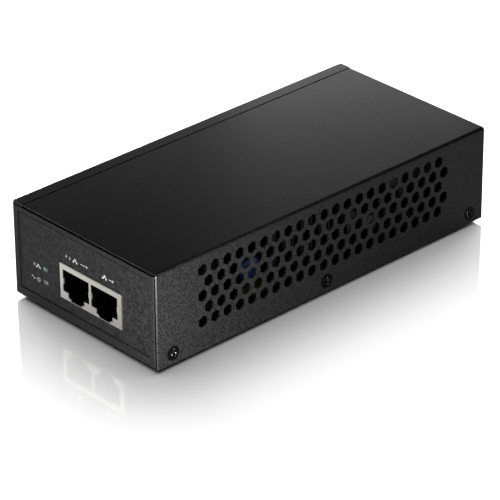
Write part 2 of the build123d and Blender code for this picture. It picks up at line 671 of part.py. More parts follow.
with BuildPart() as output_diode:
    power_package(OUTPUT_FACE, -1, PACKAGE_BACK)
output_diode.part.label = "output_diode"
export_step(output_diode.part, "parts/output_diode.step")

with BuildPart() as heat_sink_screws:
    sink_screw(PRIMARY_FACE, 1, PACKAGE_BACK)
    sink_screw(OUTPUT_FACE, -1, PACKAGE_BACK)
heat_sink_screws.part.label = "heat_sink_screws"
export_step(heat_sink_screws.part, "parts/heat_sink_screws.step")

# ---------------------------------------------------------------- mains side of the board

with BuildPart() as converter_chip:
    chip(31.0, 86.5, 5.0, 4.0, 1.5, 4, 1.27)
converter_chip.part.label = "converter_chip"
export_step(converter_chip.part, "parts/converter_chip.step")

with BuildPart() as optocoupler:
    chip(44.0, 86.0, 4.6, 6.4, 3.6, 2, 2.54)
optocoupler.part.label = "optocoupler"
export_step(optocoupler.part, "parts/optocoupler.step")

with BuildPart() as bulk_capacitor:
    can(15.5, 96.5, 8.0, 24.5)
bulk_capacitor.part.label = "bulk_capacitor"
export_step(bulk_capacitor.part, "parts/bulk_capacitor.step")

with BuildPart() as bridge_rectifier:
    span((49.5, 91.0, BOARD_TOP + 3), (64.5, 94.6, BOARD_TOP + 14))
    chamfer(edges_near(bridge_rectifier, across=64.5, back=92.8), 1.6)
    for i in range(4):
        across = 51.3 + 3.8 * i
        span((across - 0.4, 92.4, BOARD_TOP), (across + 0.4, 93.2, BOARD_TOP + 3))
bridge_rectifier.part.label = "bridge_rectifier"
export_step(bridge_rectifier.part, "parts/bridge_rectifier.step")

LINE_CHOKE = (38.0, 101.0)
YOKE_W, YOKE_T, YOKE_H = 19.0, 5.0, 17.0
POST = 5.0

with BuildPart() as line_choke_base:
    with Locations(at(*LINE_CHOKE, BOARD_TOP)):
        Box(21, 14, 1.5, align=STAND)
    fillet(line_choke_base.edges().filter_by(Axis.Z), 1.0)
line_choke_base.part.label = "line_choke_base"
export_step(line_choke_base.part, "parts/line_choke_base.step")

with BuildPart() as line_choke_core:
    with Locations(at(*LINE_CHOKE, BOARD_TOP + 1.5)):
        Box(YOKE_W, YOKE_T, YOKE_H, align=STAND)
        with Locations((0, 0, 4)):
            Box(YOKE_W - 2 * POST, YOKE_T, YOKE_H - 8, align=STAND, mode=Mode.SUBTRACT)
line_choke_core.part.label = "line_choke_core"
export_step(line_choke_core.part, "parts/line_choke_core.step")

with BuildPart() as line_choke_windings:
    for side in (-1, 1):
        with BuildSketch(board_plane(BOARD_TOP + 6)):
            with Locations((LINE_CHOKE[0] + side * (YOKE_W - POST) / 2, LINE_CHOKE[1])):
                RectangleRounded(POST + 4, YOKE_T + 6, 2.4)
                Rectangle(POST + 0.1, YOKE_T + 0.1, mode=Mode.SUBTRACT)
        extrude(amount=8.0)
line_choke_windings.part.label = "line_choke_windings"
export_step(line_choke_windings.part, "parts/line_choke_windings.step")

with BuildPart() as x_capacitor:
    span((13.0, 109.5, BOARD_TOP), (28.0, 116.0, BOARD_TOP + 12.5))
    fillet(x_capacitor.edges().filter_by(Axis.Z) + x_capacitor.edges().group_by(Axis.Z)[-1], 0.8)
x_capacitor.part.label = "x_capacitor"
export_step(x_capacitor.part, "parts/x_capacitor.step")

with BuildPart() as varistor:
    disc(54.0, 113.0, 5.2, 4.0, turn=90)
varistor.part.label = "varistor"
export_step(varistor.part, "parts/varistor.step")

with BuildPart() as fuse:
    with Locations(at(60.0, 104.0, BOARD_TOP)):
        Cylinder(4.2, 8.0, align=STAND)
    fillet(fuse.faces().sort_by(Axis.Z)[-1].edges(), 0.6)
fuse.part.label = "fuse"
export_step(fuse.part, "parts/fuse.step")

HEADER_BACK = 119.4
HEADER_TOP = BOARD_TOP + 10.0

with BuildPart() as mains_header:
    span((30.3, HEADER_BACK - 4, BOARD_TOP), (40.7, HEADER_BACK + 4, HEADER_TOP))
    fillet(mains_header.edges().filter_by(Axis.Z), 0.5)
    span((31.3, HEADER_BACK - 4, BOARD_TOP + 4), (39.7, HEADER_BACK - 3.3, HEADER_TOP), mode=Mode.SUBTRACT)
mains_header.part.label = "mains_header"
export_step(mains_header.part, "parts/mains_header.step")

# ---------------------------------------------------------------- mains inlet and its wiring

INLET_FRONT = BODY_L - INLET_DEPTH
FACE = BODY_L + FLANGE_T
PINS = ((-PIN_SIDE, -PIN_RISE), (PIN_SIDE, -PIN_RISE), (0, PIN_RISE))
PIN_W, PIN_H = 2.0, 4.0
TAB_W, TAB_H, TAB_FRONT = 0.8, 4.8, 125.6

with BuildPart() as inlet_housing:
    with BuildSketch(face_plane(FACE)):
        with Locations((INLET_ACROSS, INLET_UP)):
            RectangleRounded(31, 24, 3)
    extrude(amount=FLANGE_T)
    fillet(inlet_housing.faces().sort_by(Axis.Y)[-1].edges(), 0.5)
    span((INLET_ACROSS - INLET_W / 2, INLET_FRONT, INLET_UP - INLET_H / 2),
         (INLET_ACROSS + INLET_W / 2, BODY_L, INLET_UP + INLET_H / 2))
    with BuildSketch(face_plane(FACE)) as cavity:
        with Locations((INLET_ACROSS, INLET_UP)):
            Rectangle(CAVITY_W, CAVITY_H)
        chamfer(cavity.vertices().group_by(Axis.Z)[-1], 3.6)
    extrude(amount=CAVITY_DEPTH, mode=Mode.SUBTRACT)
    for side, rise in PINS:
        span((INLET_ACROSS + side - PIN_W / 2, INLET_FRONT - 1, INLET_UP + rise - PIN_H / 2),
             (INLET_ACROSS + side + PIN_W / 2, FACE, INLET_UP + rise + PIN_H / 2), mode=Mode.SUBTRACT)
inlet_housing.part.label = "inlet_housing"
export_step(inlet_housing.part, "parts/inlet_housing.step")

with BuildPart() as inlet_pins:
    for side, rise in PINS:
        tip = FACE - (1.4 if side == 0 else 2.6)
        across, up = INLET_ACROSS + side, INLET_UP + rise
        span((across - PIN_W / 2, INLET_FRONT, up - PIN_H / 2), (across + PIN_W / 2, tip, up + PIN_H / 2))
        span((across - TAB_W / 2, TAB_FRONT, up - TAB_H / 2),
             (across + TAB_W / 2, INLET_FRONT, up + TAB_H / 2))
    chamfer(edges_near(inlet_pins, back=FACE - 1.4) + edges_near(inlet_pins, back=FACE - 2.6), 0.6)
inlet_pins.part.label = "inlet_pins"
export_step(inlet_pins.part, "parts/inlet_pins.step")

SLEEVE = (124.2, 132.4)

with BuildPart() as terminal_sleeves:
    for side, rise in PINS:
        across, up = INLET_ACROSS + side, INLET_UP + rise
        span((across - 2, SLEEVE[0], up - 3.2), (across + 2, SLEEVE[1], up + 3.2))
    fillet(terminal_sleeves.edges().filter_by(Axis.Y), 0.8)
    for side, rise in PINS:
        across, up = INLET_ACROSS + side, INLET_UP + rise
        span((across - TAB_W / 2, TAB_FRONT, up - TAB_H / 2), (across + TAB_W / 2, 140, up + TAB_H / 2),
             mode=Mode.SUBTRACT)
terminal_sleeves.part.label = "terminal_sleeves"
export_step(terminal_sleeves.part, "parts/terminal_sleeves.step")

WIRE_R = 0.8
LOOP_UP = 24.0
STUD = (53.0, 139.0)
RING_T = 0.8

with BuildPart() as live_wire:
    start = INLET_ACROSS - PIN_SIDE
    wire(((start, SLEEVE[0], INLET_UP - PIN_RISE), (start, HEADER_BACK, INLET_UP - PIN_RISE),
          (start, HEADER_BACK, LOOP_UP), (32.6, HEADER_BACK, LOOP_UP), (32.6, HEADER_BACK, HEADER_TOP)),
         WIRE_R, 1.8)
live_wire.part.label = "live_wire"
export_step(live_wire.part, "parts/live_wire.step")

with BuildPart() as neutral_wire:
    start = INLET_ACROSS + PIN_SIDE
    wire(((start, SLEEVE[0], INLET_UP - PIN_RISE), (start, HEADER_BACK, INLET_UP - PIN_RISE),
          (start, HEADER_BACK, LOOP_UP), (38.4, HEADER_BACK, LOOP_UP), (38.4, HEADER_BACK, HEADER_TOP)),
         WIRE_R, 1.8)
neutral_wire.part.label = "neutral_wire"
export_step(neutral_wire.part, "parts/neutral_wire.step")

with BuildPart() as earth_wire:
    wire(((INLET_ACROSS, SLEEVE[0], INLET_UP + PIN_RISE), (INLET_ACROSS, 120.0, INLET_UP + PIN_RISE),
          (INLET_ACROSS, 120.0, 28.5), (STUD[0], 122.0, 28.5), (STUD[0], 128.0, 20.0),
          (STUD[0], 128.0, SHEET + 1.2), (STUD[0], 132.5, SHEET + 1.2)), WIRE_R, 1.9)
earth_wire.part.label = "earth_wire"
export_step(earth_wire.part, "parts/earth_wire.step")

with BuildPart() as earth_ring:
    with BuildSketch(board_plane(SHEET)):
        with Locations(STUD):
            Circle(4.0)
        with Locations((STUD[0], STUD[1] - 4.0)):
            Rectangle(3.4, 5.0)
        with Locations(STUD):
            Circle(2.05, mode=Mode.SUBTRACT)
    extrude(amount=RING_T)
    span((STUD[0] - 1.4, 132.5, SHEET), (STUD[0] + 1.4, 135.0, SHEET + 2.6))
earth_ring.part.label = "earth_ring"
export_step(earth_ring.part, "parts/earth_ring.step")

with BuildPart() as earth_stud:
    with Locations(at(*STUD, SHEET)):
        Cylinder(2.0, 8.0, align=STAND)
    fillet(earth_stud.faces().sort_by(Axis.Z)[-1].edges(), 0.3)
earth_stud.part.label = "earth_stud"
export_step(earth_stud.part, "parts/earth_stud.step")

with BuildPart() as earth_nut:
    with BuildSketch(board_plane(SHEET + RING_T)):
        with Locations(STUD):
            RegularPolygon(3.5, 6, major_radius=False)
            Circle(2.03, mode=Mode.SUBTRACT)
    extrude(amount=3.2)
earth_nut.part.label = "earth_nut"
export_step(earth_nut.part, "parts/earth_nut.step")
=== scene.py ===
import json
import math

import bmesh
import bpy
from mathutils import Matrix, Vector


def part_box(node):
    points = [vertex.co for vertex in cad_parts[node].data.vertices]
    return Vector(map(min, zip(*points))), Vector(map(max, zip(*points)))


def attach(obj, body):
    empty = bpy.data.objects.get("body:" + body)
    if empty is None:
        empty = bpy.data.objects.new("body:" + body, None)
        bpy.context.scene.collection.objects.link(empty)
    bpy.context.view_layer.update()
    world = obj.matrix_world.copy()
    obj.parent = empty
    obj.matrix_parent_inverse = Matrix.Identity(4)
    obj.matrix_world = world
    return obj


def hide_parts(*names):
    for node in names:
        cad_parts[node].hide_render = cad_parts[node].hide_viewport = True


# Power-over-Ethernet injector: the finish of every CAD part, the printed marks, and the wound
# wires and pressed can tops inside. Metres, +Z up, port face towards -Y, vented side towards +X.

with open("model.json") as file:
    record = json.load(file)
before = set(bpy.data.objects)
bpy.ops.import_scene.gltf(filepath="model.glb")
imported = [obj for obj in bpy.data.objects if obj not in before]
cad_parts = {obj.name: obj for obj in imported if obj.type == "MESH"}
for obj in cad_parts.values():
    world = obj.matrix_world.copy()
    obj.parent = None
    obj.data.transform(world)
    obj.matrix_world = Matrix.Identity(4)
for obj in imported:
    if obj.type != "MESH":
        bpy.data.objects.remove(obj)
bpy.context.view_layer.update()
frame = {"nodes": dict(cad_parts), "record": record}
nodes = frame["nodes"]
MM = 0.001
MICRON = 0.000001
LEFT, FRONT, BOTTOM = -35.5, -76.1, 1.5  # the body's left, port and bottom faces in the frame, mm

OUTSIDE = ("chassis", "cover", "cover_screws", "front_label", "jack_shell", "poe_lamp", "power_lamp",
           "rubber_feet", "inlet_housing", "inlet_pins", "rating_label")

# ---------------------------------------------------------------- camera, lights, floor

AZIMUTH, ELEVATION, ROLL = 47.07, 28.75, -0.38  # degrees
DISTANCE = 1.0431
TARGET = Vector((0.0204, -0.0216, 0.0190))
LENS = 228.4


def direction(azimuth, elevation):
    """Unit vector from the object towards a viewer at these angles."""
    turn, rise = math.radians(azimuth), math.radians(elevation)
    return Vector((math.sin(turn) * math.cos(rise), -math.cos(turn) * math.cos(rise), math.sin(rise)))


def add_camera():
    """Long lens on the front right corner of the case."""
    data = bpy.data.cameras.new("camera")
    data.lens = LENS
    data.clip_start = 0.01
    camera = bpy.data.objects.new("camera", data)
    bpy.context.scene.collection.objects.link(camera)
    back = direction(AZIMUTH, ELEVATION)
    turn = back.to_track_quat("Z", "Y").to_matrix().to_4x4() @ Matrix.Rotation(math.radians(ROLL), 4, "Z")
    camera.matrix_world = Matrix.Translation(TARGET + back * DISTANCE) @ turn
    bpy.context.scene.camera = camera


def softbox(name, place, aim, size, power, lit):
    """Rectangular area light at a place, turned to aim; lit is the collection that it lights."""
    data = bpy.data.lights.new(name, "AREA")
    data.shape = "RECTANGLE"
    data.size, data.size_y = size
    data.energy = power
    light = bpy.data.objects.new(name, data)
    bpy.context.scene.collection.objects.link(light)
    light.location = place
    light.rotation_euler = (Vector(place) - Vector(aim)).to_track_quat("Z", "Y").to_euler()
    light.visible_camera = False
    light.light_linking.receiver_collection = lit


def add_floor():
    """Pale glossy floor, in a collection of its own so that it can have its own lights."""
    bpy.ops.mesh.primitive_plane_add(size=12.0, location=(0, 0, 0))
    floor = bpy.context.object
    floor.name = "floor"
    g = Graph("floor_white")
    soft = g.noise(3.0)
    g.plug("Base Color", g.ramp(soft, ((0.3, (0.80, 0.80, 0.80)), (0.7, (0.82, 0.82, 0.82)))))
    g.plug("Roughness", g.spread(soft, 0.04, 0.06))
    g.shader.inputs["IOR"].default_value = 2.4
    g.shader.inputs["Specular IOR Level"].default_value = 1.0
    floor.data.materials.append(g.material)
    group = bpy.data.collections.new("floor_only")
    group.objects.link(floor)
    return group


def add_studio(floor_only, outside_only):
    """Soft lights for the floor and for the outside of the case, over a faint even world."""
    world = bpy.data.worlds.new("studio")
    world.use_nodes = True
    background = world.node_tree.nodes["Background"]
    background.inputs["Color"].default_value = (1.0, 1.0, 1.0, 1.0)
    background.inputs["Strength"].default_value = 0.05
    bpy.context.scene.world = world
    bpy.context.scene.view_settings.view_transform = "Standard"
    # The floor is lit from above and from high behind, so the object's shade falls to the front.
    middle = (0.0, 0.0, 0.0)
    behind = 227
    softbox("floor_overhead", (0.0, 0.0, 1.3), middle, (2.2, 2.2), 33.8, floor_only)
    softbox("floor_back", direction(behind, 50) * 2.0, middle, (2.2, 1.2), 51.4, floor_only)
    softbox("floor_mirrored", direction(behind, ELEVATION) * 2.4, middle, (3.2, 2.0), 45.0, floor_only)
    # A faint panel under the case keeps the gap above the floor grey.
    softbox("floor_under", (0.0, 0.0, 0.0013), middle, (0.062, 0.143), 0.0035, floor_only)
    # Low strips graze the top from the rear left.
    over = (0.0, 0.03, 0.036)
    softbox("strip_rear_left", (-0.07, 0.12, 0.062), over, (0.10, 0.03), 0.056, outside_only)
    softbox("strip_left_rear", (-0.10, 0.09, 0.07), over, (0.10, 0.04), 0.0135, outside_only)
    softbox("strip_left_high", (-0.04, 0.15, 0.07), over, (0.10, 0.04), 0.0045, outside_only)
    softbox("strip_left", (-0.11, 0.03, 0.06), (-0.03, 0.03, 0.036), (0.2, 0.03), 0.036, outside_only)
    # Two small panels near the front right corner.
    corner = (0.035, -0.076, 0.02)
    softbox("corner_front", (0.09, -0.16, 0.018), corner, (0.04, 0.03), 0.44, outside_only)
    softbox("corner_side", (0.12, -0.12, 0.018), corner, (0.04, 0.03), 0.64, outside_only)
    # Low strips for the left side and the rear, kept below the top's level.
    softbox("left_low", (-0.30, 0.0, 0.018), (-0.035, 0.0, 0.018), (0.30, 0.03), 4.0, outside_only)
    softbox("rear_low", (-0.05, 0.33, 0.018), (0.0, 0.076, 0.018), (0.20, 0.03), 4.0, outside_only)
    # A panel that the jack's polished face shows in its reflection on the floor.
    softbox("jack_glow", direction(313, ELEVATION) * 0.6, (0, -0.07, 0.01), (0.5, 0.35), 0.35, outside_only)


def outside_group(added):
    """The pieces on the outside: the object's own lights are linked to these, so the inside stays dark."""
    group = bpy.data.collections.new("outside_only")
    for name in OUTSIDE:
        group.objects.link(nodes[name])
    for piece in added:
        group.objects.link(piece)
    return group


# ---------------------------------------------------------------- materials


class Graph:
    """One procedural material: nodes are added and wired by short calls."""

    def __init__(self, name):
        self.material = bpy.data.materials.new(name)
        self.material.use_nodes = True
        self.tree = self.material.node_tree
        self.shader = self.tree.nodes["Principled BSDF"]
        self.coords = self.tree.nodes.new("ShaderNodeTexCoord").outputs["Object"]

    def node(self, kind, links=None, values=None, **fields):
        """A node with its links, its socket values and its own fields."""
        made = self.tree.nodes.new(kind)
        for field, value in fields.items():
            setattr(made, field, value)
        for socket, value in (values or {}).items():
            made.inputs[socket].default_value = value
        for socket, source in (links or {}).items():
            self.tree.links.new(source, made.inputs[socket])
        return made

    def calc(self, operation, *terms):
        """A sum; each term is a number or the output of another node."""
        made = self.node("ShaderNodeMath", operation=operation)
        for socket, term in zip(made.inputs, terms):
            if isinstance(term, (int, float)):
                socket.default_value = term
            else:
                self.tree.links.new(term, socket)
        return made.outputs[0]

    def split(self):
        """The X, Y and Z of the point being shaded."""
        return self.node("ShaderNodeSeparateXYZ", {"Vector": self.coords}).outputs

    def noise(self, scale, detail=2.0, stretch=None):
        source = self.coords
        if stretch:
            source = self.node("ShaderNodeMapping", {"Vector": source}, {"Scale": stretch}).outputs["Vector"]
        return self.node("ShaderNodeTexNoise", {"Vector": source},
                         {"Scale": scale, "Detail": detail}).outputs["Fac"]

    def ramp(self, source, stops):
        """Colour by value; stops are (value, colour) pairs."""
        made = self.node("ShaderNodeValToRGB", {"Fac": source})
        while len(made.color_ramp.elements) < len(stops):
            made.color_ramp.elements.new(0.5)
        for element, (place, colour) in zip(made.color_ramp.elements, stops):
            element.position = place
            element.color = (*colour, 1.0)
        return made.outputs["Color"]

    def spread(self, source, low, high, start=0.3, end=0.7):
        """Takes start to end over to low to high, and clamps it there."""
        values = {"From Min": start, "From Max": end, "To Min": low, "To Max": high}
        return self.node("ShaderNodeMapRange", {"Value": source}, values).outputs["Result"]

    def bump(self, source, depth):
        """Normal of a grain that is depth micrometres high."""
        values = {"Strength": 1.0, "Distance": depth * MICRON}
        return self.node("ShaderNodeBump", {"Height": source}, values).outputs["Normal"]

    def plug(self, socket, source):
        self.tree.links.new(source, self.shader.inputs[socket])


def shade(colour, factor):
    """A colour made lighter or darker, kept within white."""
    return tuple(min(1.0, c * factor) for c in colour)


def painted(name, colour, vary, colour_scale, rough, grain, depth, metal=0.0, specular=0.5):
    """Surface whose colour, roughness and grain all vary a little.

    vary is the colour's swing as a share of it, rough the least and greatest roughness, and depth the
    grain's height in micrometres. colour_scale and grain are the scales of the two noises.
    """
    g = Graph(name)
    patches = g.noise(colour_scale, 3.0)
    g.plug("Base Color", g.ramp(patches, ((0.3, shade(colour, 1 - vary)), (0.7, shade(colour, 1 + vary)))))
    fine = g.noise(grain)
    g.plug("Roughness", g.spread(fine, *rough))
    g.plug("Normal", g.bump(fine, depth))
    g.shader.inputs["Metallic"].default_value = metal
    g.shader.inputs["Specular IOR Level"].default_value = specular
    return g.material


def unshaded_skin(g, node, sides):
    """1 near the named outer faces of a node, 0 in its punched walls and inside, where the coat gets painted
    shade.

    sides holds (axis, end, depth): axis 0 to 2, end 0 for the low face and 1 for the high one, depth in mm.
    """
    split = g.split()
    nearest = None
    for axis, end, depth in sides:
        # 0 on the face and -1 at the depth below it
        scale = (1 if end else -1) / (depth * MM)
        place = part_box(node)[end][axis]
        reach = g.calc("MULTIPLY_ADD", split[axis], scale, -place * scale)
        nearest = g.calc("MAXIMUM", nearest, reach) if nearest else reach
    return g.spread(nearest, 0.0, 1.0, -1.25, -1.0)


def front_edge_painted_highlight(g):
    """Painted highlight: a higher specular level along the cover's upright front edge, strongest at the top.
    """
    split = g.split()
    front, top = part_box("cover")[0][1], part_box("cover")[1][2]
    near = g.spread(split["Y"], 0.26, 0.0, front + 0.15 * MM, front + 0.6 * MM)
    high = g.spread(split["Z"], 0.3, 1.0, 0.25 * top, 0.95 * top)
    return g.calc("MULTIPLY", near, high)


COAT_LOW, COAT_HIGH = (0.0025, 0.0025, 0.0026), (0.0095, 0.0095, 0.0099)
# The coat's painted shade in punched walls, at sheet edges and inside the case.
COAT_PAINTED_SHADE = (0.0012, 0.0012, 0.0012, 1.0)
COAT_ROUGH = (0.40, 0.54)


def powder_coat(name, node=None, sides=(), painted_highlight=None):
    """Fine-grained black powder coat: tiny dimples, with a few brighter grains.

    On a node it gets painted shade, dark and dull, away from the named sides; a painted highlight, if given,
    brightens a part of it.
    """
    g = Graph(name)
    grains = g.noise(2600.0, 2.0)
    flecks = g.noise(1500.0, 1.0)
    colour = g.ramp(flecks, ((0.35, COAT_LOW), (0.72, COAT_HIGH)))
    gleam = g.spread(grains, 0.045, 0.068)
    # A painted highlight raises the specular level on a part of the coat.
    if painted_highlight:
        gleam = g.calc("ADD", gleam, painted_highlight(g))
    if node:
        # Painted shade: the coat turns darker and duller in punched walls, at sheet edges and inside.
        unshaded = unshaded_skin(g, node, sides)
        colour = g.node("ShaderNodeMix", {"Factor": unshaded, "B": colour}, {"A": COAT_PAINTED_SHADE},
                        data_type="RGBA").outputs["Result"]
        gleam = g.calc("MULTIPLY", unshaded, gleam)
    g.plug("Base Color", colour)
    g.plug("Specular IOR Level", gleam)
    g.plug("Roughness", g.spread(grains, *COAT_ROUGH))
    g.plug("Normal", g.bump(grains, 26))
    return g.material


def overlay_film():
    """Textured black film of the port face, a shade coarser than the coat."""
    g = Graph("overlay_film")
    grains = g.noise(3000.0, 2.0)
    flecks = g.noise(1100.0)
    g.plug("Base Color", g.ramp(flecks, ((0.35, (0.0025, 0.0025, 0.0027)), (0.7, (0.0098, 0.0098, 0.0102)))))
    g.plug("Roughness", g.spread(grains, *COAT_ROUGH))
    g.plug("Normal", g.bump(grains, 20))
    g.shader.inputs["Specular IOR Level"].default_value = 0.055
    return g.material


SCREW_FRONT = (6.84 + FRONT) * MM  # the first of the three cover screws
SCREW_PITCH = 68.48 * MM
SCREW_RISE = (4.0 + BOTTOM) * MM


def screw_black():
    """Blackened screws with bright bare metal in a few spots round the recess of each head: wear, and painted
    glints.
    """
    g = Graph("black_screw")
    split = g.split()
    along = g.calc("SUBTRACT", split["Y"], SCREW_FRONT - SCREW_PITCH / 2)
    turn = g.calc("MODULO", along, SCREW_PITCH)
    beside = g.calc("SUBTRACT", turn, SCREW_PITCH / 2)
    above = g.calc("SUBTRACT", split["Z"], SCREW_RISE)
    flat = g.node("ShaderNodeCombineXYZ", {"X": beside, "Y": above}).outputs["Vector"]
    radius = g.node("ShaderNodeVectorMath", {0: flat}, operation="LENGTH").outputs["Value"]
    # Bright bare metal round each recess: partly wear, partly painted glints.
    ring = g.spread(radius, 1.0, 0.0, 1.0 * MM, 1.5 * MM)
    spots = g.spread(g.noise(1500.0, 1.0), 0.0, 1.0, 0.64, 0.70)
    wear_and_glint = g.calc("MULTIPLY", ring, spots)
    g.plug("Metallic", wear_and_glint)
    g.plug("Base Color", g.ramp(wear_and_glint, ((0.0, (0.0010, 0.0010, 0.0011)), (1.0, (0.5, 0.49, 0.47)))))
    g.plug("Roughness", g.spread(g.noise(2500.0), 0.18, 0.30))
    g.shader.inputs["Specular IOR Level"].default_value = 0.02
    return g.material


def satin_metal(name, colour, rough, stretch=(1.0, 1.0, 14.0)):
    """Plated sheet with faint drawn lines."""
    g = Graph(name)
    lines = g.noise(900.0, 3.0, stretch)
    g.plug("Base Color", g.ramp(lines, ((0.3, shade(colour, 0.93)), (0.7, colour))))
    g.plug("Roughness", g.spread(lines, *rough))
    g.plug("Normal", g.bump(lines, 4))
    g.shader.inputs["Metallic"].default_value = 1.0
    return g.material


def copper():
    """Enamelled copper wire, a little uneven in tone."""
    g = Graph("enamelled_copper")
    lines = g.noise(700.0, 2.0)
    g.plug("Base Color", g.ramp(lines, ((0.3, (0.20, 0.07, 0.03)), (0.7, (0.36, 0.15, 0.06)))))
    g.plug("Roughness", g.spread(lines, 0.2, 0.36))
    g.shader.inputs["Metallic"].default_value = 1.0
    return g.material


def lamp_resin():
    """Cloudy grey-green resin with faint upright streaks from the parts behind it."""
    g = Graph("lamp_resin")
    streaks = g.noise(1500.0, 1.0, (1.0, 1.0, 0.2))
    g.plug("Base Color", g.ramp(streaks, ((0.35, (0.016, 0.030, 0.031)), (0.65, (0.075, 0.105, 0.10)))))
    g.plug("Roughness", g.spread(streaks, 0.25, 0.4))
    g.shader.inputs["Specular IOR Level"].default_value = 0.2
    g.shader.inputs["Transmission Weight"].default_value = 0.15
    return g.material


def earth_stripes():
    """Wire in green and yellow stripes."""
    g = Graph("earth_stripes")
    stripe = 1.6 * MM
    split = g.split()
    across = g.calc("ADD", split["X"], split["Y"])
    wave = g.spread(g.calc("PINGPONG", across, stripe), 0.0, 1.0, 0.0, stripe)
    g.plug("Base Color", g.ramp(wave, ((0.49, (0.02, 0.13, 0.02)), (0.51, (0.36, 0.28, 0.015)))))
    g.plug("Roughness", g.spread(g.noise(500.0), 0.3, 0.42))
    return g.material


def slot_materials():
    """One material for each material slot of the record."""
    return {
        "black_powder_coat": powder_coat("powder_coat"),
        "black_screw": screw_black(),
        "zinc_steel": satin_metal("zinc_plate", (0.62, 0.62, 0.60), (0.25, 0.42)),
        "label_film": overlay_film(),
        "silver_label": painted("silver_label", (0.55, 0.55, 0.56), 0.05, 400.0, (0.35, 0.5), 2000.0, 4, 0.6),
        "black_rubber": painted("black_rubber", (0.02, 0.02, 0.02), 0.3, 600.0, (0.7, 0.9), 1800.0, 20),
        "board_green": painted("solder_mask", (0.012, 0.075, 0.035), 0.25, 500.0, (0.2, 0.4), 900.0, 8),
        "film_black": painted("film_black", (0.02, 0.02, 0.022), 0.2, 300.0, (0.4, 0.6), 1500.0, 5),
        "shell_nickel": satin_metal("satin_nickel", (0.46, 0.445, 0.41), (0.26, 0.4)),
        "housing_black": painted("housing_black", (0.003, 0.003, 0.003), 0.3, 700.0, (0.45, 0.6), 2200.0, 10,
                                 specular=0.1),
        "contact_gold": satin_metal("contact_gold", (0.85, 0.58, 0.22), (0.15, 0.3)),
        "lamp_resin": lamp_resin(),
        "chip_black": painted("chip_black", (0.018, 0.018, 0.019), 0.25, 800.0, (0.5, 0.7), 2600.0, 12),
        "tantalum_yellow": painted("tantalum_yellow", (0.42, 0.30, 0.03), 0.12, 900.0, (0.4, 0.55),
                                   1800.0, 10),
        "can_sleeve": painted("can_sleeve", (0.012, 0.013, 0.03), 0.2, 300.0, (0.15, 0.28), 900.0, 4),
        "ferrite": painted("ferrite", (0.03, 0.03, 0.032), 0.3, 900.0, (0.5, 0.75), 2400.0, 20),
        "powder_core": painted("powder_core", (0.018, 0.045, 0.034), 0.2, 500.0, (0.3, 0.5), 1500.0, 10),
        "copper_wire": copper(),
        "tape_yellow": painted("tape_yellow", (0.38, 0.26, 0.025), 0.12, 260.0, (0.18, 0.35), 500.0, 30),
        "bobbin_black": painted("bobbin_black", (0.015, 0.015, 0.016), 0.25, 500.0, (0.4, 0.6), 1800.0, 10),
        "sink_black": painted("sink_black", (0.006, 0.006, 0.0065), 0.3, 500.0, (0.40, 0.55), 2000.0, 6,
                              specular=0.15),
        "disc_blue": painted("disc_blue", (0.010, 0.034, 0.17), 0.15, 400.0, (0.2, 0.35), 700.0, 30),
        "xcap_grey": painted("xcap_grey", (0.07, 0.075, 0.08), 0.15, 400.0, (0.3, 0.45), 1500.0, 6),
        "fuse_brown": painted("fuse_brown", (0.05, 0.018, 0.01), 0.2, 400.0, (0.25, 0.4), 1500.0, 6),
        "nylon_white": painted("nylon_white", (0.72, 0.70, 0.62), 0.05, 400.0, (0.4, 0.55), 1500.0, 8),
        "inlet_black": painted("inlet_black", (0.012, 0.012, 0.013), 0.25, 600.0, (0.3, 0.45), 2400.0, 12),
        "pin_nickel": satin_metal("pin_nickel", (0.75, 0.73, 0.68), (0.12, 0.24)),
        "wire_brown": painted("wire_brown", (0.11, 0.04, 0.015), 0.15, 300.0, (0.3, 0.42), 900.0, 6),
        "wire_blue": painted("wire_blue", (0.012, 0.05, 0.22), 0.12, 300.0, (0.3, 0.42), 900.0, 6),
        "wire_earth": earth_stripes(),
    }


# Below these depths the coat gets painted shade.
SKIN, RECESS_SKIN = 0.31, 1.0  # mm of coat kept at full tone below a face, and below the port face


def paint_nodes(materials):
    """Every node gets the finish of its slot, and three of them a version of their own: the cover's and
    chassis's coats with painted shade away from their outer faces, and a darker varistor for painted shade
    inside the case.
    """
    for entry in frame["record"]["subparts"]:
        node = nodes[entry["node"]]
        node.data.materials.clear()
        node.data.materials.append(materials[entry["material_slot"]])
    # The cover and chassis coats get painted shade away from their outer faces.
    left, right = (0, 0, SKIN), (0, 1, SKIN)
    front, rear = (1, 0, RECESS_SKIN), (1, 1, SKIN)
    bottom, top = (2, 0, SKIN), (2, 1, SKIN)
    # The cover's front edge also gets a painted highlight.
    nodes["cover"].data.materials[0] = powder_coat("cover_coat", "cover", (right, top), front_edge_painted_highlight)
    outer = (left, top, bottom, front, rear)
    nodes["chassis"].data.materials[0] = powder_coat("chassis_coat", "chassis", outer)
    # A darker copy of the disc blue for the varistor: painted shade inside the case.
    varistor_painted_shade = painted("varistor_painted_shade", (0.006, 0.012, 0.04), 0.15, 400.0, (0.3, 0.45), 700.0, 30)
    nodes["varistor"].data.materials[0] = varistor_painted_shade


# ---------------------------------------------------------------- mesh toolbox


def at(across, back, up):
    """Point of the body, in mm from its left, port and bottom faces."""
    return Vector((across + LEFT, back + FRONT, up + BOTTOM)) * MM


def place_of(point):
    """The distances of a point from the same three faces, in mm."""
    return point.x / MM - LEFT, point.y / MM - FRONT, point.z / MM - BOTTOM


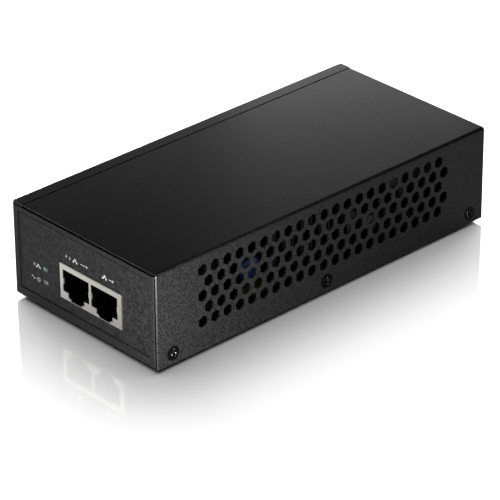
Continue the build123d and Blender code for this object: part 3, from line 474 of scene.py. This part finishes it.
class Shape:
    """Closed shells gathered into one mesh."""

    def __init__(self):
        self.points = []
        self.faces = []

    def add(self, points, faces):
        start = len(self.points)
        self.points.extend(points)
        self.faces.extend([start + i for i in face] for face in faces)

    def prism(self, outline, lift):
        """Flat outline raised by lift."""
        count = len(outline)
        sides = [(i, (i + 1) % count, count + (i + 1) % count, count + i) for i in range(count)]
        self.add(outline + [point + lift for point in outline],
                 sides + [tuple(range(count))[::-1], tuple(range(count, 2 * count))])

    def ribbon(self, line, width, lift, closed=False):
        """Strip of even width along a line that lies in the plane across lift."""
        side = lift.normalized()
        count = len(line)
        points = []
        for i, point in enumerate(line):
            before = line[i - 1] if closed or i else point
            after = line[(i + 1) % count] if closed or i < count - 1 else point
            into = (point - before).normalized() if point != before else (after - point).normalized()
            out = (after - point).normalized() if after != point else into
            across = (into + out).normalized().cross(side)
            reach = across * (width / 2 / max(0.3, across.dot(into.cross(side))))
            points += [point - reach, point + reach, point - reach + lift, point + reach + lift]
        faces = []
        for i in range(count if closed else count - 1):
            a, b = 4 * i, 4 * ((i + 1) % count)
            faces += [(a, b, b + 1, a + 1), (a + 2, a + 3, b + 3, b + 2),
                      (a, a + 2, b + 2, b), (a + 1, b + 1, b + 3, a + 3)]
        if not closed:
            last = 4 * (count - 1)
            faces += [(0, 1, 3, 2), (last, last + 2, last + 3, last + 1)]
        self.add(points, faces)

    def tube(self, line, radius, closed=False, sides=8):
        """Round wire along a line."""
        count = len(line)
        points = []
        normal = None
        for i, point in enumerate(line):
            before = line[i - 1] if closed or i else point
            after = line[(i + 1) % count] if closed or i < count - 1 else point
            along = (after - before).normalized()
            if normal is None:
                normal = along.orthogonal()
            normal = (normal - along * normal.dot(along)).normalized()
            other = along.cross(normal)
            for k in range(sides):
                angle = 2 * math.pi * k / sides
                points.append(point + (normal * math.cos(angle) + other * math.sin(angle)) * radius)
        shift = 0
        if closed:
            first, last = points[0], points[-sides:]
            shift = min(range(sides), key=lambda k: (last[k] - first).length)
        faces = []
        for i in range(count - 1):
            a, b = sides * i, sides * (i + 1)
            faces += [(a + k, a + (k + 1) % sides, b + (k + 1) % sides, b + k) for k in range(sides)]
        a = sides * (count - 1)
        if closed:
            faces += [(a + (k + shift) % sides, a + (k + 1 + shift) % sides, (k + 1) % sides, k)
                      for k in range(sides)]
        else:
            faces += [tuple(range(sides))[::-1], tuple(range(a, a + sides))]
        self.add(points, faces)

    def lathe(self, foot, profile, sides=32):
        """Turned shell about an upright axis: profile is (radius, height) pairs in mm, from axis to axis."""
        points = []
        for radius, height in profile:
            for k in range(sides):
                angle = 2 * math.pi * k / sides
                spoke = Vector((radius * math.cos(angle), radius * math.sin(angle), height))
                points.append(foot + spoke * MM)
        faces = []
        for i in range(len(profile) - 1):
            a, b = sides * i, sides * (i + 1)
            faces += [(a + k, a + (k + 1) % sides, b + (k + 1) % sides, b + k) for k in range(sides)]
        self.add(points, faces)

    def piece(self, name, material, slot, smooth=False):
        """Turns the shells into a named piece that rides on the case."""
        mesh = bpy.data.meshes.new(name)
        mesh.from_pydata(self.points, [], self.faces)
        work = bmesh.new()
        work.from_mesh(mesh)
        bmesh.ops.remove_doubles(work, verts=work.verts, dist=1e-7)
        bmesh.ops.recalc_face_normals(work, faces=work.faces)
        for face in work.faces:
            face.smooth = smooth
        work.to_mesh(mesh)
        work.free()
        mesh.materials.append(material)
        made = bpy.data.objects.new(name, mesh)
        bpy.context.scene.collection.objects.link(made)
        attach(made, "case")
        return made


# ---------------------------------------------------------------- printed marks

INK = 0.015  # height of printed ink, mm
PRINT_GAP = 0.002  # between a print and the surface that it is on, mm
SIGN_LINE = 0.2  # width of the lines of the pictograms, mm
SIGN_MIDDLE = 0.75  # height of a pictogram's middle line, mm


def bolt(left, low):
    """Lightning bolt, 1.5 mm high."""
    outline = ((0.62, 1.5), (0.0, 0.62), (0.40, 0.62), (0.22, 0.0), (0.92, 0.92), (0.5, 0.92), (0.74, 1.5))
    return [("fill", [(left + x, low + y) for x, y in outline])]


def network(left, low):
    """One box joined to two boxes below it."""
    boxes = ((0.8, 1.05), (0.0, 0.0), (1.6, 0.0))
    marks = []
    for x, y in boxes:
        corners = ((x, y), (x + 0.75, y), (x + 0.75, y + 0.45), (x, y + 0.45))
        marks.append(("fill", [(left + a, low + b) for a, b in corners]))
    tree = [(0.375, 0.45), (0.375, 0.75), (1.975, 0.75), (1.975, 0.45)]
    marks.append(("line", [(left + a, low + b) for a, b in tree]))
    marks.append(("line", [(left + 1.175, low + 0.75), (left + 1.175, low + 1.05)]))
    return marks


def arrow(left, low, length):
    """Arrow to the right."""
    tip, middle = left + length, low + SIGN_MIDDLE
    shaft = [(left, middle), (tip - 0.5, middle)]
    head = [(tip, middle), (tip - 0.8, middle - 0.5), (tip - 0.8, middle + 0.5)]
    return [("line", shaft), ("fill", head)]


def plus(left, low):
    """Plus sign, 1 mm across."""
    x, y = left + 0.5, low + SIGN_MIDDLE
    return [("line", [(left, y), (left + 1.0, y)]), ("line", [(x, y - 0.5), (x, y + 0.5)])]


def power(left, low, radius=0.72):
    """Open ring with an upright bar in its gap."""
    x, y = left + radius, low + radius
    start, sweep, steps = 125, 290, 16  # the ring's first angle and turn in degrees, and its points
    angles = [math.radians(start + sweep * i / steps) for i in range(steps + 1)]
    ring = [(x + radius * math.cos(a), y + radius * math.sin(a)) for a in angles]
    return [("line", ring), ("line", [(x, y + 0.1), (x, y + radius + 0.12)])]


def mains(left, low):
    """One wave, for mains current."""
    length, swing, steps = 1.8, 0.42, 12
    wave = []
    for i in range(steps + 1):
        rise = swing * math.sin(2 * math.pi * i / steps)
        wave.append((left + length * i / steps, low + SIGN_MIDDLE + rise))
    return [("line", wave)]


def front_legends(material):
    """Grey pictograms beside the lamps and above the sockets."""
    poe_row, power_row, port_1_row, port_2_row = 14.1, 9.0, 23.4, 23.3
    marks = bolt(9.9, poe_row) + network(11.1, poe_row)
    marks += mains(8.7, power_row) + power(11.6, power_row + 0.05)
    marks += bolt(26.4, port_1_row) + plus(28.2, port_1_row)
    marks += network(30.1, port_1_row) + arrow(33.8, port_1_row, 3.8)
    marks += network(44.6, port_2_row) + arrow(48.0, port_2_row, 2.4)
    shape = Shape()
    face = place_of(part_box("front_label")[0])[1]
    lift = Vector((0, -INK * MM, 0))
    for kind, outline in marks:
        line = [at(x, face + PRINT_GAP, y) for x, y in outline]
        if kind == "fill":
            shape.prism(line, lift)
        else:
            shape.ribbon(line, SIGN_LINE * MM, lift)
    return shape.piece("front_legends", material, "nylon_white")


# ---------------------------------------------------------------- detail on and in the case


def box_outline(node, margin=0.0):
    """A node's box in mm: left, front, right and back, each out by the margin, then foot and top."""
    low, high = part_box(node)
    left, front, foot = place_of(Vector(low))
    right, back, top = place_of(Vector(high))
    return left - margin, front - margin, right + margin, back + margin, foot, top


def rating_print(material):
    """Blank ruled form with a border on the rating label."""
    rows, inset, indent = 5, 1.5, 0.6
    border, rule = 0.3 * MM, 0.15 * MM
    left, front, right, back, foot, _ = box_outline("rating_label", -inset)
    z = foot + PRINT_GAP
    lift = Vector((0, 0, -INK * MM))
    shape = Shape()
    corners = ((left, front), (right, front), (right, back), (left, back))
    shape.ribbon([at(x, y, z) for x, y in corners], border, lift, closed=True)
    for i in range(1, rows):
        y = front + (back - front) * i / rows
        shape.ribbon([at(left + indent, y, z), at(right - indent, y, z)], rule, lift)
    return shape.piece("rating_label_rules", material, "label_film")


def silkscreen(material):
    """White outlines round the parts that stand on the board."""
    names = ("lan_transformer", "poe_controller", "y_capacitor", "bridge_rectifier", "x_capacitor",
             "varistor", "fuse", "line_choke_base", "optocoupler", "converter_chip", "mains_header",
             "bulk_capacitor")
    margin, line, height = 0.5, 0.18 * MM, 0.03 * MM
    z = place_of(Vector(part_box("circuit_board")[1]))[2] + PRINT_GAP
    lift = Vector((0, 0, height))
    shape = Shape()
    for name in names:
        left, front, right, back, _, _ = box_outline(name, margin)
        corners = ((left, front), (right, front), (right, back), (left, back))
        shape.ribbon([at(x, y, z) for x, y in corners], line, lift, closed=True)
    shape.piece("board_markings", material, "nylon_white")


def rounded(value, power):
    """Sine or cosine bent towards a square wave, so that a loop gets straight sides."""
    return math.copysign(abs(value) ** power, value)


def choke_turns(material):
    """Round wire wound through the output choke's core."""
    hole, wire = 4.8, 0.42  # radius of the core's hole and of the wire, mm
    turns, steps, corner = 18, 24, 0.35
    left, front, right, back, foot, top = box_outline("output_choke_winding")
    core = box_outline("output_choke_core")
    middle = at((left + right) / 2, (front + back) / 2, (foot + top) / 2)
    outer = (core[2] - core[0]) / 2
    half = (top - foot) / 2 - wire - 0.02
    ring, reach = (outer + hole) / 2, (outer - hole) / 2 + wire + 0.04
    line = []
    for i in range(turns * steps):
        angle = 2 * math.pi * i / steps
        turn = 2 * math.pi * i / (turns * steps)
        r = ring + rounded(math.cos(angle), corner) * reach
        z = rounded(math.sin(angle), corner) * half
        line.append(middle + Vector((r * math.cos(turn), r * math.sin(turn), z)) * MM)
    shape = Shape()
    shape.tube(line, wire * MM, closed=True)
    made = shape.piece("output_choke_turns", material, "copper_wire", smooth=True)
    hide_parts("output_choke_winding")


def clipped(value):
    """Sine or cosine cut off flat, so that a loop has straight sides and cut corners."""
    return math.copysign(min(abs(value) * 1.3, 1.0), value)


def line_choke_turns(material):
    """Two coils of stacked loops of round wire, in layers, on the posts of the line choke."""
    post, wire = 5.0, 0.4  # width of a post and radius of the wire, mm
    layers, layer_pitch, clearance, steps = 3, 0.7, 0.15, 24
    foot, top = box_outline("line_choke_windings")[4:]
    left, front, right, back = box_outline("line_choke_core")[:4]
    rows = int((top - foot) / (2 * wire))
    shape = Shape()
    for side in (-1, 1):
        x_mid = (left + right) / 2 + side * (right - left - post) / 2
        y_mid = (front + back) / 2
        for layer in range(layers):
            grow = clearance + wire + layer_pitch * layer
            x_half, y_half = post / 2 + grow, (back - front) / 2 + grow
            # Every second layer sits half a wire higher, in the grooves of the one under it.
            for row in range(rows - layer % 2):
                z = foot + wire * (1 + layer % 2) + 2 * wire * row
                line = []
                for k in range(steps):
                    angle = 2 * math.pi * (k + 0.5) / steps
                    x, y = clipped(math.cos(angle)), clipped(math.sin(angle))
                    line.append(at(x_mid + x * x_half, y_mid + y * y_half, z))
                shape.tube(line, wire * MM, closed=True, sides=6)
    made = shape.piece("line_choke_turns", material, "copper_wire", smooth=True)
    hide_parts("line_choke_windings")


OUTPUT_CANS = ((12.0, 32.0), (12.0, 44.0), (24.0, 44.0))  # across and back, mm
OUTPUT_CAN_RADIUS = 5.0


def can_tops(material):
    """Bare aluminium tops of the standing capacitors, pressed with a cross-shaped vent."""
    top = box_outline("output_capacitors")[5]
    cans = [(across, back, OUTPUT_CAN_RADIUS, top) for across, back in OUTPUT_CANS]
    left, front, right, back, _, top = box_outline("bulk_capacitor")
    cans.append(((left + right) / 2, (front + back) / 2, (right - left) / 2, top))
    disc, line, height = 0.05, 0.25 * MM, Vector((0, 0, 0.04 * MM))
    shape = Shape()
    for across, back, radius, top in cans:
        foot = at(across, back, top + PRINT_GAP)
        # A thin disc with a raised rim.
        shape.lathe(foot, ((0, 0.0), (radius - 0.9, 0.0), (radius - 0.8, 0.12), (radius - 1.0, 0.14),
                           (radius - 1.3, disc), (0, disc)))
        for turn in (0.4, 0.4 + math.pi / 2):
            arm = Vector((math.cos(turn), math.sin(turn), 0)) * (radius * 0.5 * MM)
            middle = foot + Vector((0, 0, (disc + 0.001) * MM))
            shape.ribbon([middle - arm, middle + arm], line, height)
    shape.piece("capacitor_tops", material, "zinc_steel")


# ---------------------------------------------------------------- the whole scene

materials = slot_materials()
paint_nodes(materials)
ink = painted("grey_ink", (0.20, 0.20, 0.195), 0.15, 900.0, (0.5, 0.65), 2600.0, 3)
outside = [front_legends(ink), rating_print(materials["label_film"])]
silkscreen(painted("board_ink", (0.55, 0.55, 0.52), 0.12, 900.0, (0.5, 0.65), 2600.0, 3))
can_tops(satin_metal("can_aluminium", (0.60, 0.60, 0.60), (0.3, 0.45), (1.0, 1.0, 1.0)))
choke_turns(materials["copper_wire"])
line_choke_turns(materials["copper_wire"])
add_camera()
add_studio(add_floor(), outside_group(outside))
